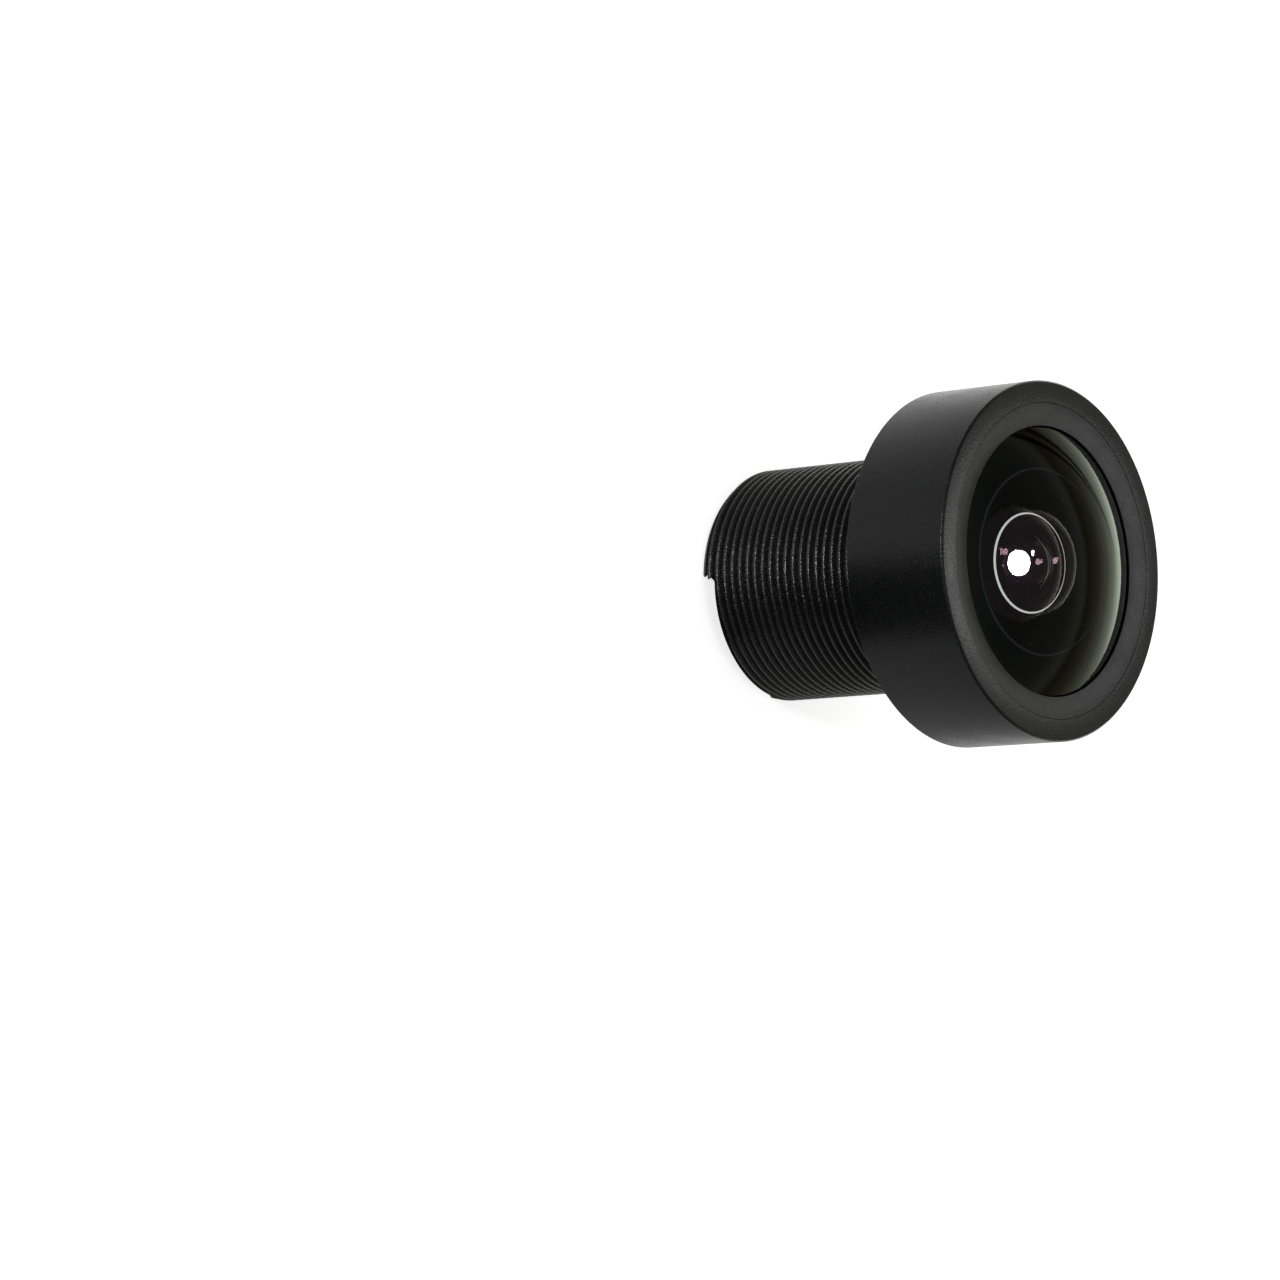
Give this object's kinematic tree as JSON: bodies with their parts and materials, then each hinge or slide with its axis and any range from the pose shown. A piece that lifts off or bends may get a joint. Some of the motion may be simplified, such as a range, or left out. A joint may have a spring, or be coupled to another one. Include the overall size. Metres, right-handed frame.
{
  "type": "m12 board camera lens",
  "caption": "Wide-angle board camera lens: a broad round head with a domed front element on a fine-threaded M12 tube, with the whole glass stack, stop and filter inside.",
  "frame": {"origin": "centre of the rear end face, on the optical axis; the lens stands on this end", "axes": "+Z along the optical axis towards the front; the slot across the rear end runs along X"},
  "size_m": [0.018, 0.018, 0.0194],
  "materials": {
    "black_anodised_body": "fine turned and bead-blasted black anodised aluminium, matt",
    "black_anodised_ring": "turned black anodised aluminium, matt, a little smoother than the head",
    "black_spacer": "dull black anodised aluminium",
    "seal_rubber": "smooth black silicone rubber",
    "black_film": "matt black film",
    "front_glass": "polished glass with a green-tinted anti-reflection coating",
    "inner_glass": "polished glass with a purple-tinted anti-reflection coating",
    "filter_glass": "flat glass with a pink-reflecting infrared-blocking coating",
    "black_adhesive": "cured black adhesive, uneven and slightly glossy"
  },
  "bodies": {
    "root": {"barrel": "black_anodised_body", "front_retaining_ring": "black_anodised_ring", "front_seal_ring": "seal_rubber", "lens_1_front": "front_glass", "spacer_1_2": "black_spacer", "lens_2": "inner_glass", "light_shield_2": "black_film", "spacer_2_3": "black_spacer", "lens_3": "inner_glass", "spacer_3_stop": "black_spacer", "aperture_stop": "black_spacer", "spacer_stop_4": "black_spacer", "lens_4": "inner_glass", "lens_5": "inner_glass", "light_shield_5": "black_film", "spacer_5_6": "black_spacer", "lens_6": "inner_glass", "ir_cut_filter": "filter_glass", "adhesive_bead_1": "black_adhesive", "adhesive_bead_2": "black_adhesive"}
  },
  "joints": []
}
